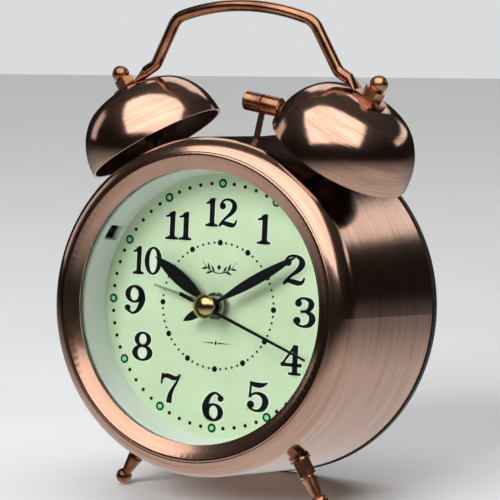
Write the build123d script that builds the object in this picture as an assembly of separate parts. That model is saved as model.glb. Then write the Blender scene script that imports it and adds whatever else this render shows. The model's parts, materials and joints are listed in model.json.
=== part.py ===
from build123d import *
import math
import os

# Twin-bell quartz alarm clock, millimetres.
#
# Everything is first built in the drum's own frame: X to the right of someone facing the dial,
# Y along the drum's axis from front to back with Y = 0 at the dial's front face, Z up the dial.
# stand() then leans the whole clock back and sets it on the table: +Z up, dial facing -Y,
# origin at the middle of the clock's footprint box, on the table.

# ---- driving dimensions ------------------------------------------------------------------
TRACK_R = 40.0            # radius of the minute track printed on the dial
LEAN_BACK = 7.2           # the drum's axis points up at the front by this angle

SHELL = 0.7               # sheet thickness of the drum
SIDE_BACK_R = 57.9        # drum radius at its back edge
SIDE_BACK_Y = 43.4
SHOULDER_R = 8.0          # radius of the rounded front shoulder
SHOULDER_C = (46.7, -9.9)  # centre of that round, as (radius, Y)
MOUTH_R = 49.6            # front hole of the drum, filled by the bezel ring
GLASS_OPEN_R = 44.0
BEAD_R = 48.5             # radius of the circle that the bezel's bead follows
BEZEL_R = 49.56           # outside of the bezel ring, in the drum's mouth

COVER_R = 58.3            # back cover's rim
COVER_Y = (43.5, 46.0)
COVER_EDGE = 0.3

BELL_R = 24.2             # rim radius
BELL_H = 20.9             # dome height
BELL_FULLNESS = 0.69      # 1 is an ellipse, less is a fuller shoulder
BELL_T = 0.8
BELL_REACH = 62.2         # drum axis to the middle of the bell's rim
BELL_BEARING = 33.5       # angle of that middle from the top of the drum
BELL_SPLAY = 31.0         # angle of the bell's own axis
CLUSTER_TURN = 1.5        # bells and handle sit turned by this much, clockwise from the front
CLUSTER_NOD = 10.0        # their plane nods forward by this much
CLUSTER_PIVOT = (12.0, 52.0)  # (Y, Z) of a point in that plane

HANDLE_ROD_R = 1.9
HANDLE_TOP_Z = 99.0
STRAP_T = 1.3
STRAP_W = 6.6
STRAP_PAST = 2.3          # stud to the middle of the strap's round end

FOOT_BEARING = 31.5       # angle of each foot from the bottom of the drum
FOOT_Y = 7.0
BALL_R = 2.65

HAMMER_Y = 10.5
HAMMER_PIVOT = (0.6, 24.0)
HAMMER_ARM = 43.4         # pivot to the middle of the head
HAMMER_HEAD_R = 3.2
HAMMER_HEAD_L = 13.6
HAMMER_REST = 10.6        # lean of the hammer where it lies against the right bell
HAMMER_SWING = 18.1       # from there to the left bell
WINDOW_UP = 10.0          # pivot to the middle of the lever's window
CRANK_R = 1.9
CRANK_PIN_R = 0.6

HOUR_ANGLE = 304.5        # hands, clockwise from twelve
MINUTE_ANGLE = 60.0
SECOND_ANGLE = 111.4
ALARM_ANGLE = 284.1

RUN = 0.05                # radial clearance of a part that turns on another
MOD_MOTION = 0.30         # gear modules
MOD_MINUTE = 0.25
MOD_FAST = 0.25
MOD_STRIKE = 0.40
SECOND_ARBOR_R = 0.45
CANNON_R = (SECOND_ARBOR_R + RUN, 1.0)
HOUR_PIPE_R = (CANNON_R[1] + RUN, 1.7)
ALARM_PIPE_R = (HOUR_PIPE_R[1] + RUN, 2.4)
BUSH_R = (ALARM_PIPE_R[1] + RUN, 3.2)

T_CANNON, T_MOTION, T_MOTION_PINION, T_HOUR = 10, 30, 8, 32
T_MINUTE, T_THIRD_PINION, T_THIRD, T_SECOND_PINION = 64, 8, 60, 8
T_SECOND, T_INTER_PINION, T_INTER, T_ROTOR = 48, 8, 30, 6
T_ALARM, T_ALARM_SET, T_TIME_SET = 30, 60, 30
T_MOTOR, T_STRIKER = 10, 30

MOTION_BEARING = 20.0     # directions of the arbors, anticlockwise from 3 o'clock
THIRD_BEARING = 250.0
INTER_BEARING = 90.0
ROTOR_BEARING = 150.0
ALARM_SET_BEARING = 160.0
MOTOR_BEARING = 180.0

# ---- places worked out from them -----------------------------------------------------------


def polar(radius, degrees, start=(0.0, 0.0)):
    """Point at a distance and a direction, anticlockwise from 3 o'clock, as (X, Z)."""
    a = math.radians(degrees)
    return (start[0] + radius * math.cos(a), start[1] + radius * math.sin(a))


def spacing(teeth_a, teeth_b, module):
    return (teeth_a + teeth_b) * module / 2


MOTION_AT = polar(spacing(T_CANNON, T_MOTION, MOD_MOTION), MOTION_BEARING)
TIME_SET_AT = polar(spacing(T_MOTION, T_TIME_SET, MOD_MOTION), MOTION_BEARING, MOTION_AT)
THIRD_GAP = spacing(T_MINUTE, T_THIRD_PINION, MOD_MINUTE)
MOD_SECOND = 2 * THIRD_GAP / (T_THIRD + T_SECOND_PINION)
THIRD_AT = polar(THIRD_GAP, THIRD_BEARING)
INTER_AT = polar(spacing(T_SECOND, T_INTER_PINION, MOD_FAST), INTER_BEARING)
ROTOR_AT = polar(spacing(T_INTER, T_ROTOR, MOD_FAST), ROTOR_BEARING, INTER_AT)
ALARM_SET_AT = polar(spacing(T_ALARM, T_ALARM_SET, MOD_MOTION), ALARM_SET_BEARING)
STRIKER_AT = polar(WINDOW_UP, 90 - HAMMER_REST + HAMMER_SWING / 2, HAMMER_PIVOT)
MOTOR_AT = polar(spacing(T_MOTOR, T_STRIKER, MOD_STRIKE), MOTOR_BEARING, STRIKER_AT)

# ---- small helpers ---------------------------------------------------------------------------


def facing(shape):
    """Turn a shape drawn on XY to face the front: its Y becomes up and its Z points forward."""
    return Rot(90, 0, 0) * shape


def plate(sketch, y0, y1):
    """A flat piece from y0 back to y1, drawn as seen from the front."""
    return Pos(0, y1, 0) * facing(extrude(sketch, y1 - y0))


def disc(radius, y0, y1, at=(0, 0), bore=0):
    sketch = Circle(radius)
    if bore:
        sketch -= Circle(bore)
    return plate(Pos(at[0], at[1]) * sketch, y0, y1)


def turned(*edges):
    """A solid turned about the drum's axis from edges drawn as (radius, Y)."""
    return revolve(make_face(Curve() + list(edges)), Axis.Y)


def ring(points):
    return turned(*Polyline(*points, close=True).edges())


def gear(teeth, module, y0, y1, at, phase, bore):
    """A spur gear whose first tooth points at phase, anticlockwise from 3 o'clock."""
    tip, root = module * (teeth / 2 + 0.8), module * (teeth / 2 - 1.1)
    pitch = 360 / teeth
    points = []
    for tooth in range(teeth):
        middle = phase + tooth * pitch
        for radius, share in ((root, -0.27), (tip, -0.09), (tip, 0.09), (root, 0.27)):
            points.append(polar(radius, middle + share * pitch))
    sketch = make_face(Polyline(*points, close=True))
    if bore:
        sketch -= Circle(bore)
    return plate(Pos(at[0], at[1]) * sketch, y0, y1)


def meshing(phase, teeth, other_teeth, bearing):
    """Phase of the gear that lies towards bearing, so that its gap takes this gear's tooth."""
    share = (bearing - phase) * teeth / 360
    return bearing + 180 - (0.5 - share) * 360 / other_teeth


def hexagon(across_flats):
    return RegularPolygon(across_flats / math.sqrt(3), 6)


def aim(hand, degrees):
    """Turn a hand that was drawn at twelve clockwise to its reading."""
    return Rot(0, degrees, 0) * hand


# ---- drum, bezel, glass and dial ---------------------------------------------------------------


def shoulder_point(degrees, radius):
    a = math.radians(degrees)
    return (SHOULDER_C[0] + radius * math.cos(a), SHOULDER_C[1] - radius * math.sin(a))


def drum_case():
    side_angle = math.degrees(math.atan2(SIDE_BACK_R - SHOULDER_C[0] - SHOULDER_R,
                                         SIDE_BACK_Y - SHOULDER_C[1]))
    inner = SHOULDER_R - SHELL
    lip_out = math.degrees(math.acos((MOUTH_R - SHOULDER_C[0]) / SHOULDER_R))
    lip_in = math.degrees(math.acos((MOUTH_R - SHOULDER_C[0]) / inner))
    mid_out, mid_in = (lip_out + side_angle) / 2, (lip_in + side_angle) / 2
    back_out = (SIDE_BACK_R, SIDE_BACK_Y)
    back_in = (SIDE_BACK_R - SHELL, SIDE_BACK_Y)
    start_out, start_in = shoulder_point(side_angle, SHOULDER_R), shoulder_point(side_angle, inner)
    end_out, end_in = shoulder_point(lip_out, SHOULDER_R), shoulder_point(lip_in, inner)
    shell = turned(Line(back_out, start_out),
                   ThreePointArc(start_out, shoulder_point(mid_out, SHOULDER_R), end_out),
                   Line(end_out, end_in),
                   ThreePointArc(end_in, shoulder_point(mid_in, inner), start_in),
                   Line(start_in, back_in),
                   Line(back_in, back_out))
    shell -= Pos(HAMMER_PIVOT[0], HAMMER_Y - 0.95, SIDE_BACK_R - 3) * Box(24, 3.4, 12)
    for side in (-1, 1):
        shell -= post_frame(side) * Cylinder(POST_R + RUN, 30)
        shell -= foot_frame(side) * Cylinder(FOOT_STUD_R + RUN, 30)
    return shell


def bezel_ring():
    """Cove from the glass up to a rounded bead, with a flange behind the drum's mouth."""
    return turned(Line((GLASS_OPEN_R, -14.2), (GLASS_OPEN_R, -14.8)),
                  Spline((GLASS_OPEN_R, -14.8), (45.6, -15.75), (47.3, -16.85),
                         (BEAD_R, -17.45), (49.25, -17.3), (BEZEL_R, -16.85)),
                  Line((BEZEL_R, -16.85), (BEZEL_R, -15.7)),
                  Line((BEZEL_R, -15.7), (50.4, -15.7)),
                  Line((50.4, -15.7), (50.4, -14.9)),
                  Line((50.4, -14.9), (47.2, -14.9)),
                  Line((47.2, -14.9), (47.2, -10.2)),
                  Line((47.2, -10.2), (46.2, -10.2)),
                  Line((46.2, -10.2), (46.2, -14.2)),
                  Line((46.2, -14.2), (GLASS_OPEN_R, -14.2)))


def lens():
    pane = disc(46.0, -14.2, -12.4)
    return chamfer(pane.edges().filter_by(GeomType.CIRCLE), 0.3)


def lens_gasket():
    return ring([(44.3, -12.4), (46.0, -12.4), (46.0, -11.6), (44.3, -11.6)])


LED_BEARING = 149.5       # where the lamp's window is, anticlockwise from 3 o'clock
LED_Y = -5.7
LED_WINDOW = (6.8, 5.6)   # along the drum, round the ring


def led_frame():
    """X runs outwards along the radius at the lamp, Y along the drum, at the reflector's wall."""
    return Rot(0, -LED_BEARING, 0) * Pos(0, LED_Y, 0)


def reflector_ring():
    wall = ring([(44.0, -11.6), (46.0, -11.6), (46.0, -10.4), (45.2, -10.4),
                 (44.6, -1.0), (46.0, -1.0), (46.0, 0.0), (43.2, 0.0)])
    return wall - led_frame() * Pos(44.4, 0, 0) * Box(4, *LED_WINDOW)


def led_holder():
    block = Pos(47.2, 0, 0) * Box(2.8, 8.6, 8)
    block -= Pos(46.4, 0, 0) * Box(3, *LED_WINDOW)
    block -= Pos(48, 0, 0) * Rot(0, 90, 0) * Cylinder(1.55, 4)
    return led_frame() * block


def led_lamp():
    body = Rot(0, 90, 0) * (Pos(0, 0, 47.4) * Cylinder(1.5, 2.8) + Pos(0, 0, 46.0) * Sphere(1.5))
    for offset in (-0.6, 0.6):
        body += Pos(50.2, offset, 0) * Rot(0, 90, 0) * Cylinder(0.25, 3.2)
    return led_frame() * body


def dial():
    return disc(46.0, 0.0, 0.5, bore=BUSH_R[1] + RUN)


def mounting_nut():
    sketch = Circle(4.5) - Circle(BUSH_R[1])
    for angle in (0, 90):
        sketch -= Rot(0, 0, angle) * (Pos(4.3, 0) * Rectangle(0.8, 1.2) + Pos(-4.3, 0) * Rectangle(0.8, 1.2))
    return plate(sketch, -1.3, 0.0)


# ---- hands ------------------------------------------------------------------------------------


def leaf(base, tip, width):
    """A leaf-shaped blade drawn along +Y."""
    middle = (base + tip) / 2
    return make_face(Curve() + [ThreePointArc((0, base), (width / 2, middle), (0, tip)),
                                ThreePointArc((0, tip), (-width / 2, middle), (0, base))])


def hour_hand():
    sketch = leaf(3.0, 0.665 * TRACK_R, 4.7) + Circle(2.9) + Pos(0, 3.2) * Rectangle(1.5, 4)
    return aim(plate(sketch - Circle(HOUR_PIPE_R[1]), -4.3, -3.9), HOUR_ANGLE)


def minute_hand():
    sketch = leaf(3.0, 0.9 * TRACK_R, 3.4) + leaf(-0.268 * TRACK_R, -1.5, 2.8)
    sketch += Circle(2.3) + Pos(0, 3) * Rectangle(1.2, 4)
    return aim(plate(sketch - Circle(CANNON_R[1]), -5.9, -5.5), MINUTE_ANGLE)


def second_hand():
    tip, tail = 0.993 * TRACK_R, 0.25 * TRACK_R
    needle = make_face(Polyline((-0.55, 0), (0.55, 0), (0.38, tip), (-0.38, tip), close=True))
    sketch = needle + Pos(0, -tail / 2) * Rectangle(0.7, tail) + Circle(1.5)
    sketch += Pos(0, -tail + 2.6) * Rectangle(1.3, 5.2)
    blade = plate(sketch - Circle(SECOND_ARBOR_R), -8.9, -8.6)
    return aim(blade + disc(0.9, -8.6, -7.2, bore=SECOND_ARBOR_R), SECOND_ANGLE)


CAP_ROUND_R = 5.6


def second_cap():
    dome = disc(3.9, -11.5, -8.9) & Pos(0, -10.9 + CAP_ROUND_R, 0) * Sphere(CAP_ROUND_R)
    return dome - disc(SECOND_ARBOR_R, -9.4, -8.9)


def alarm_hand():
    tip = 0.584 * TRACK_R
    needle = make_face(Polyline((-0.75, 1.5), (0.75, 1.5), (0.3, tip), (-0.3, tip), close=True))
    sketch = needle + Circle(3.3) - Circle(ALARM_PIPE_R[1])
    return aim(plate(sketch, -3.0, -2.6), ALARM_ANGLE)


# ---- the movement -------------------------------------------------------------------------------

MOVE_HALF_X = 24.0        # movement housing, as seen from the front
MOVE_Z = (-26.0, 18.5)
PLATE_Y = (0.5, 1.9)
HOUSING_Y = (1.9, 16.4)
WALL = 1.2
KNOB_SHAFT_R = 1.5


def movement_outline(inset):
    low, high = MOVE_Z[0] + inset, MOVE_Z[1] - inset
    sketch = Rectangle(2 * (MOVE_HALF_X - inset), high - low)
    return Pos(0, (low + high) / 2) * fillet(sketch.vertices(), 3 - inset / 2)


def movement_plate():
    body = plate(movement_outline(0), *PLATE_Y)
    body += disc(BUSH_R[1], -1.5, PLATE_Y[0])
    body -= disc(BUSH_R[0], -1.6, PLATE_Y[1])
    body += disc(0.7, PLATE_Y[1], 5.8, MOTION_AT)
    for at in (THIRD_AT, ALARM_SET_AT, TIME_SET_AT):
        body += disc(1.2, PLATE_Y[1], 2.1, at)
        body -= disc(0.55, 1.0, 2.2, at)
    return body


def movement_housing():
    walls = plate(movement_outline(0) - movement_outline(WALL), *HOUSING_Y)
    body = walls + plate(movement_outline(WALL / 2), HOUSING_Y[1] - WALL, HOUSING_Y[1])
    for at in (ALARM_SET_AT, TIME_SET_AT):
        body -= disc(KNOB_SHAFT_R + RUN, 10, 20, at)
    for at in (THIRD_AT, INTER_AT, ROTOR_AT, (0, 0)):
        body += disc(1.4, 13.6, HOUSING_Y[1] - WALL, at)
        body -= disc(0.4, 13.0, HOUSING_Y[1] - 0.8, at)
    return body


def pipe(radii, front, back):
    return disc(radii[1], front, back, bore=radii[0])


SECOND_PHASE = 90 - SECOND_ANGLE


def alarm_wheel():
    phase = 90 - ALARM_ANGLE
    return gear(T_ALARM, MOD_MOTION, 2.2, 3.0, (0, 0), phase, ALARM_PIPE_R[0]) + pipe(ALARM_PIPE_R, -3.0, 2.2)


def alarm_knob():
    phase = meshing(90 - ALARM_ANGLE, T_ALARM, T_ALARM_SET, ALARM_SET_BEARING)
    body = gear(T_ALARM_SET, MOD_MOTION, 2.2, 3.0, ALARM_SET_AT, phase, 0)
    body += disc(0.5, 1.1, 2.2, ALARM_SET_AT)
    return body + knob(ALARM_SET_AT, 3.0)


def time_knob():
    phase = meshing(MOTION_PHASE, T_MOTION, T_TIME_SET, MOTION_BEARING)
    body = gear(T_TIME_SET, MOD_MOTION, 4.6, 5.4, TIME_SET_AT, phase, 0)
    body += disc(0.5, 1.1, 2.2, TIME_SET_AT) + disc(1.0, 2.2, 4.6, TIME_SET_AT)
    return body + knob(TIME_SET_AT, 5.4)


KNOB_R = 6.0
KNOB_Y = (47.2, 53.0)


def knob(at, start):
    """Shaft back from the gear and a ribbed finger knob behind the back cover."""
    body = disc(KNOB_SHAFT_R, start, KNOB_Y[0], at)
    rim = Circle(KNOB_R)
    for groove in range(18):
        rim -= Rot(0, 0, groove * 20) * Pos(KNOB_R + 0.1, 0) * Circle(0.5)
    head = plate(Pos(at[0], at[1]) * rim, *KNOB_Y)
    return body + head + disc(2.6, KNOB_Y[0] - 0.9, KNOB_Y[0], at)


CANNON_PHASE = 90 - MINUTE_ANGLE
MOTION_PHASE = meshing(CANNON_PHASE, T_CANNON, T_MOTION, MOTION_BEARING)
MOTION_PINION_PHASE = 10.0


def hour_wheel():
    phase = meshing(MOTION_PINION_PHASE, T_MOTION_PINION, T_HOUR, MOTION_BEARING + 180)
    body = gear(T_HOUR, MOD_MOTION, 3.3, 4.1, (0, 0), phase, HOUR_PIPE_R[0])
    return body + pipe(HOUR_PIPE_R, -4.3, 3.3)


def motion_wheel():
    body = gear(T_MOTION, MOD_MOTION, 4.6, 5.4, MOTION_AT, MOTION_PHASE, 0)
    body += gear(T_MOTION_PINION, MOD_MOTION, 3.2, 4.6, MOTION_AT, MOTION_PINION_PHASE, 0)
    return body - disc(0.7 + RUN, 3.0, 6.0, MOTION_AT)


def cannon_pinion():
    body = gear(T_CANNON, MOD_MOTION, 4.4, 5.6, (0, 0), CANNON_PHASE, CANNON_R[0])
    return body + pipe(CANNON_R, -5.9, 4.4) + pipe(CANNON_R, 5.6, 6.9)


THIRD_PHASE = 0.0


def minute_wheel():
    phase = meshing(THIRD_PHASE, T_THIRD_PINION, T_MINUTE, THIRD_BEARING + 180)
    return gear(T_MINUTE, MOD_MINUTE, 5.9, 6.7, (0, 0), phase, CANNON_R[1] + RUN)


def third_wheel():
    pinion = gear(T_THIRD_PINION, MOD_MINUTE, 5.7, 7.3, THIRD_AT, THIRD_PHASE, 0)
    phase = meshing(SECOND_PHASE, T_SECOND_PINION, T_THIRD, THIRD_BEARING)
    wheel = gear(T_THIRD, MOD_SECOND, 7.3, 8.1, THIRD_AT, phase, 0)
    return pinion + wheel + disc(0.5, 1.1, 5.7, THIRD_AT) + disc(0.35, 8.1, 15.4, THIRD_AT)


def seconds_wheel():
    pinion = gear(T_SECOND_PINION, MOD_SECOND, 7.2, 9.0, (0, 0), SECOND_PHASE, 0)
    wheel = gear(T_SECOND, MOD_FAST, 9.0, 9.8, (0, 0), SECOND_PHASE, 0)
    return pinion + wheel + disc(SECOND_ARBOR_R, -9.4, 7.2) + disc(0.35, 9.8, 15.4)


def intermediate_wheel():
    low = meshing(SECOND_PHASE, T_SECOND, T_INTER_PINION, INTER_BEARING)
    pinion = gear(T_INTER_PINION, MOD_FAST, 8.8, 10.4, INTER_AT, low, 0)
    wheel = gear(T_INTER, MOD_FAST, 10.4, 11.2, INTER_AT, INTER_PHASE, 0)
    return pinion + wheel + disc(0.35, 8.0, 8.8, INTER_AT) + disc(0.35, 11.2, 15.4, INTER_AT)


INTER_PHASE = 0.0


def rotor():
    phase = meshing(INTER_PHASE, T_INTER, T_ROTOR, ROTOR_BEARING)
    pinion = gear(T_ROTOR, MOD_FAST, 10.2, 11.7, ROTOR_AT, phase, 0)
    magnet = disc(1.9, 11.7, 13.0, ROTOR_AT)
    return pinion + magnet + disc(0.35, 9.4, 10.2, ROTOR_AT) + disc(0.35, 13.0, 15.4, ROTOR_AT)


STATOR_Y = (12.0, 12.8)
COIL_AT = (-2.5, 14.6)


def stator():
    sketch = Pos(-2.5, 8.8) * Rectangle(17, 5.8)
    for x in (-10.0, 5.0):
        sketch += Pos(x, 11.9) * Rectangle(2, 8)
    sketch -= Pos(*ROTOR_AT) * Circle(2.3)
    sketch -= Pos(*INTER_AT) * Circle(0.8)
    sketch += Pos(-2.5, COIL_AT[1]) * Rectangle(15, 1.6)
    return plate(sketch, *STATOR_Y)


def coil():
    bobbin = Box(12.4, 3.6, 3.8) - Box(13, 0.9, 1.7)
    for x in (-5.9, 5.9):
        bobbin += Pos(x, 0, 0) * (Box(0.6, 4.0, 4.2) - Box(1, 0.9, 1.7))
    return Pos(COIL_AT[0], sum(STATOR_Y) / 2, COIL_AT[1]) * bobbin


BOARD_Z = -20.0


def circuit_board():
    board = plate(Pos(0, BOARD_Z) * Rectangle(40, 8.4), 12.0, 13.0)
    return board + plate(Pos(-6, BOARD_Z) * Circle(2.6), 11.0, 12.0)


def quartz_crystal():
    return Pos(8, 10.9, BOARD_Z) * Rot(0, 90, 0) * Cylinder(1.05, 6)


# ---- hammer drive -------------------------------------------------------------------------------

BRACKET_Y = (13.8, 15.0)


def hammer_swing():
    """The hammer is drawn upright and leans about its pivot to the place where it rests."""
    x, z = HAMMER_PIVOT
    return Pos(x, 0, z) * Rot(0, HAMMER_REST, 0) * Pos(-x, 0, -z)


def hammer_bracket():
    sketch = Pos(-3, 31.9) * fillet(Rectangle(34, 26.8).vertices(), 2)
    sketch -= Pos(*MOTOR_AT) * Circle(2.2)
    body = plate(sketch, *BRACKET_Y)
    body += disc(1.0, 12.0, BRACKET_Y[0], STRIKER_AT)
    for x in (-18, 12):
        body += plate(Pos(x, 21.4) * Rectangle(4, 5.8), 2.0, BRACKET_Y[0])
    return body


def hammer_pin():
    return disc(1.2, 9.6, BRACKET_Y[0], HAMMER_PIVOT) + disc(2.2, 9.0, 9.6, HAMMER_PIVOT)


def hammer_lever():
    x, z = HAMMER_PIVOT
    sketch = Pos(x, z + 7.5) * fillet(Rectangle(13.6, 22).vertices(), 2.5)
    sketch -= Pos(x, z + WINDOW_UP) * fillet(Rectangle(8.6, 6.4).vertices(), 1.5)
    sketch -= Pos(x, z) * Circle(1.2 + RUN)
    return hammer_swing() * plate(sketch, HAMMER_Y - 0.5, HAMMER_Y + 0.5)


def hammer_stem():
    x, z = HAMMER_PIVOT
    low, high = z + 14.2, z + HAMMER_ARM
    strip = Pos(x, (low + high) / 2) * Rectangle(1.9, high - low)
    foot = Pos(x, low + 1.8) * Rectangle(5, 3.6)
    return hammer_swing() * plate(strip + foot, HAMMER_Y - 1.4, HAMMER_Y - 0.5)


def hammer_head():
    x, z = HAMMER_PIVOT
    half = HAMMER_HEAD_L / 2
    outline = Polyline((0, -half), (2.7, -half), (HAMMER_HEAD_R, 0.5 - half), (HAMMER_HEAD_R, -0.35),
                       (HAMMER_HEAD_R - 0.4, 0), (HAMMER_HEAD_R, 0.35), (HAMMER_HEAD_R, half - 0.5),
                       (2.7, half), (0, half), close=True)
    head = Rot(0, 0, 90) * revolve(make_face(outline), Axis.Y)
    centre_y = HAMMER_Y - 0.95
    head -= Pos(0, 0, -2) * Box(1.9, 0.9, 4)
    return hammer_swing() * Pos(x, centre_y, z + HAMMER_ARM) * head


def hammer_motor():
    can = disc(7.5, BRACKET_Y[1], 27.0, MOTOR_AT) + disc(2.1, BRACKET_Y[0], BRACKET_Y[1], MOTOR_AT)
    can -= disc(0.9, 10, 20, MOTOR_AT)
    return can + disc(2.0, 27.0, 28.2, MOTOR_AT)


def motor_pinion():
    phase = meshing(STRIKER_PHASE, T_STRIKER, T_MOTOR, MOTOR_BEARING)
    return gear(T_MOTOR, MOD_STRIKE, 12.2, 13.4, MOTOR_AT, phase, 0) + disc(0.85, 13.4, 19.8, MOTOR_AT)


STRIKER_PHASE = 0.0


def striker_gear():
    body = gear(T_STRIKER, MOD_STRIKE, 12.2, 13.4, STRIKER_AT, STRIKER_PHASE, 1.0 + RUN)
    crank = polar(CRANK_R, 90, STRIKER_AT)
    return body + disc(CRANK_PIN_R, 9.6, 12.2, crank)


# ---- bells, handle and feet ------------------------------------------------------------------------

POST_R = 1.5
COLUMN_R = 3.0


def cluster():
    """Frame of the bells and handle: X right, Y back, Z up, nodded and turned with them."""
    y, z = CLUSTER_PIVOT
    return Rot(0, CLUSTER_TURN, 0) * Pos(0, y, z) * Rot(CLUSTER_NOD, 0, 0) * Pos(0, 0, -z)


def post_frame(side):
    """Frame at the middle of one bell's rim: Z runs out along the bell's own axis."""
    a = math.radians(BELL_BEARING)
    centre = (side * BELL_REACH * math.sin(a), 0, BELL_REACH * math.cos(a))
    return cluster() * Pos(*centre) * Rot(0, side * BELL_SPLAY, 0)


def dome_curve(radius, height):
    """Outline of a dome as (radius, height), from the rim to the crown."""
    points = []
    for step in range(7):
        a = math.radians(15 * step)
        points.append((radius * max(math.cos(a), 0) ** BELL_FULLNESS, height * math.sin(a)))
    points[-1] = (0, height)
    return Spline(*points, tangents=[(0, 1), (-1, 0)])


def bell(side):
    outer = dome_curve(BELL_R, BELL_H)
    inner = dome_curve(BELL_R - BELL_T, BELL_H - BELL_T)
    face = make_face(Curve() + [outer, inner, Line((BELL_R, 0), (BELL_R - BELL_T, 0)),
                                Line((0, BELL_H), (0, BELL_H - BELL_T))])
    dome = Rot(90, 0, 0) * revolve(face, Axis.Y)
    return post_frame(side) * (dome - Pos(0, 0, BELL_H) * Cylinder(POST_R + RUN, 6))


COLUMN_FOOT = -5.0        # where the column meets the drum, along the bell's axis


def bell_post(side):
    crown = BELL_H - BELL_T - 0.1
    column = Pos(0, 0, (COLUMN_FOOT + crown) / 2) * Cylinder(COLUMN_R, crown - COLUMN_FOOT)
    stud = Pos(0, 0, (-12 + BELL_H + 6) / 2) * Cylinder(POST_R, BELL_H + 18)
    return post_frame(side) * (column + stud)


def inner_nuts():
    """Four nuts inside the drum: two hold the bell posts, two hold the feet."""
    nut = extrude(hexagon(5.5) - Circle(POST_R), 2.4)
    on_posts = [post_frame(side) * Pos(0, 0, -10.8) * nut for side in (-1, 1)]
    on_feet = [foot_frame(side) * Pos(0, 0, -3.7) * nut for side in (-1, 1)]
    return on_posts + on_feet


def acorn_nut(side):
    base = BELL_H + STRAP_T
    nut = extrude(hexagon(6.2), 2.8) + Pos(0, 0, 4.8) * Sphere(2.9)
    nut -= Pos(0, 0, 2.35) * Cylinder(POST_R, 4.7)
    return post_frame(side) * Pos(0, 0, base) * nut


FLAT_FROM = 9.5           # crown to where the rod starts to flatten
FLAT_TO = 5.0             # crown to where it is a strap


def flattening(side):
    """Stretch in which the round rod is hammered out into its strap."""
    across, outwards = (0, 1, 0), (side, 0, 0)
    round_end = Plane(origin=(-side * FLAT_FROM, 0, BELL_H + HANDLE_ROD_R), x_dir=across, z_dir=outwards)
    flat_end = Plane(origin=(-side * FLAT_TO, 0, BELL_H + STRAP_T / 2), x_dir=across, z_dir=outwards)
    return loft([round_end * Circle(HANDLE_ROD_R), flat_end * Ellipse(STRAP_W / 2, STRAP_T / 2)])


def handle():
    """Bent rod whose ends are flattened into straps that lie on the crowns of the bells."""
    a, splay = math.radians(BELL_BEARING), math.radians(BELL_SPLAY)
    seat = BELL_H + HANDLE_ROD_R
    crown_x = BELL_REACH * math.sin(a) + seat * math.sin(splay)
    crown_z = BELL_REACH * math.cos(a) + seat * math.cos(splay)
    bend = 14.0               # crown to where the rod turns up
    bend_x, bend_z = crown_x - bend * math.cos(splay), crown_z + bend * math.sin(splay)
    root_x, root_z = crown_x - FLAT_FROM * math.cos(splay), crown_z + FLAT_FROM * math.sin(splay)
    elbow_x, elbow_z = 25.5, 94.5
    right = [(root_x, root_z), (bend_x, bend_z), (elbow_x, elbow_z)]
    left = [(-x, z) for x, z in right]
    with BuildLine() as path:
        Polyline(*left)
        ThreePointArc(left[-1], (0, HANDLE_TOP_Z), right[-1])
        Polyline(*right)
        fillet(path.vertices().filter_by(lambda v: abs(abs(v.X) - elbow_x) < 0.01), 7)
        fillet(path.vertices().filter_by(lambda v: abs(abs(v.X) - bend_x) < 0.01), 4)
    start = path.wire() @ 0
    tangent = path.wire() % 0
    rod = sweep(Plane(origin=start, z_dir=tangent) * Circle(HANDLE_ROD_R), path=path.wire())
    body = cluster() * (Rot(90, 0, 0) * rod)
    for side in (-1, 1):
        strap = Pos(-side * 1.4, 0) * Rectangle(7.4, STRAP_W) + Pos(side * STRAP_PAST, 0) * Circle(STRAP_W / 2)
        strap -= Circle(POST_R + RUN)
        body += post_frame(side) * (Pos(0, 0, BELL_H) * extrude(strap, STRAP_T) + flattening(side))
    return body


def rim_drop():
    """Distance from the drum's axis down to the table, measured square to the table."""
    lean = math.radians(LEAN_BACK)
    return COVER_R * math.cos(lean) + (COVER_Y[1] - COVER_EDGE) * math.sin(lean)


def foot_reach():
    """Distance from the drum's axis to the ball's centre, so that the ball meets the table."""
    lean, bearing = math.radians(LEAN_BACK), math.radians(FOOT_BEARING)
    return (rim_drop() - BALL_R - FOOT_Y * math.sin(lean)) / (math.cos(lean) * math.cos(bearing))


FOOT_STUD_R = 1.5
FOOT_SEAT = 56.0          # drum radius under the feet, plus a hair


def foot_frame(side):
    """Frame on the drum's surface under one foot: Z runs outwards along the foot."""
    return Rot(0, side * (180 - FOOT_BEARING), 0) * Pos(0, FOOT_Y, FOOT_SEAT)


def foot(side):
    reach = foot_reach() - FOOT_SEAT
    stem = Polyline((0, -4.5), (FOOT_STUD_R, -4.5), (FOOT_STUD_R, 0.7), (2.3, 0.7), (2.3, 6.0), (2.0, 6.2),
                    (2.0, 6.6), (2.55, 7.0), (1.55, reach - 1.9), (0, reach - 1.9), close=True)
    body = Rot(90, 0, 0) * revolve(make_face(stem), Axis.Y)
    body += Pos(0, 0, 0.7) * extrude(hexagon(5.4), 5.3)
    return foot_frame(side) * (body + Pos(0, 0, reach) * Sphere(BALL_R))


def foot_washer(side):
    return foot_frame(side) * extrude(Circle(3.5) - Circle(FOOT_STUD_R + RUN), 0.7)


# ---- back cover, battery and controls -----------------------------------------------------------------

DOOR_W, DOOR_H = 60.0, 33.0
DOOR_Z = -24.0
CELL_R, CELL_L = 7.2, 50.0
CELL_Y = 34.6
CELL_Z = (-16.4, -31.6)
BUTTON_AT = (0.0, 24.0)
SWITCH_AT = (0.0, 37.0)
SWITCH_TRAVEL = 6.4
SCREW_R = 50.0
SCREW_BEARINGS = (90.0, 205.0, 335.0)
COVER_PLATE_Y = (43.9, 46.0)


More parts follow.
